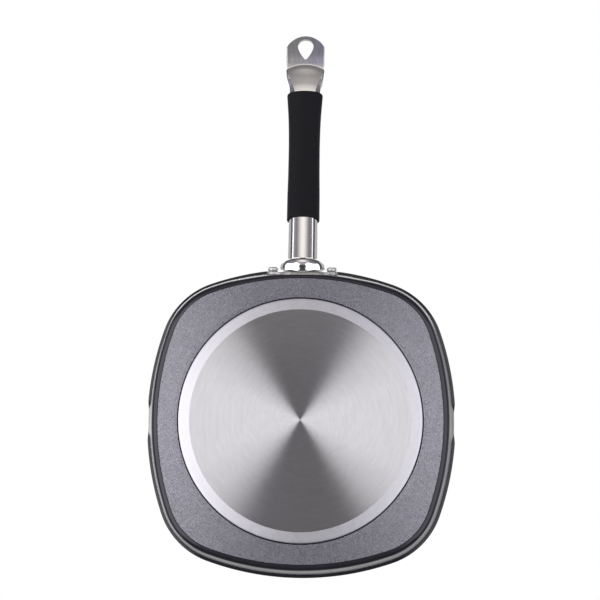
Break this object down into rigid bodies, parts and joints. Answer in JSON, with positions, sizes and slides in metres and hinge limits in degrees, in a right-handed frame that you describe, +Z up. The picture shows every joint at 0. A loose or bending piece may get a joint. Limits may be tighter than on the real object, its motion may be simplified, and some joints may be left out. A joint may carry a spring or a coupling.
{
  "type": "grill pan",
  "caption": "Square grill pan with rounded corners, flared wall, pouring dips, ridged floor, round steel base and a riveted tubular handle with a soft grip and a hanging hole.",
  "frame": {"origin": "centre of the flat underside of the base, on the surface that the pan stands on", "axes": "+Z up out of the pan, handle along -Y, pouring dips at the middle of the +X and -X sides"},
  "size_m": [0.2788, 0.5058, 0.0796],
  "materials": {
    "coated_body": "coated aluminium: grey with a fine metallic fleck on the flat underside, glossy black on the wall and rim, black non-stick inside",
    "core_aluminium": "plain rolled aluminium",
    "base_steel": "circular-brushed stainless steel with a bright chamfered ring",
    "polished_steel": "polished stainless steel, satin at the flattened tail",
    "grip_silicone": "matt black silicone",
    "rivet_steel": "bright stainless steel"
  },
  "bodies": {
    "root": {"pan_body": "coated_body", "base_core_disc": "core_aluminium", "base_steel_cap": "base_steel", "handle_bracket": "polished_steel", "handle_tube": "polished_steel", "grip_sleeve": "grip_silicone", "rivet_left": "rivet_steel", "rivet_right": "rivet_steel"}
  },
  "joints": []
}
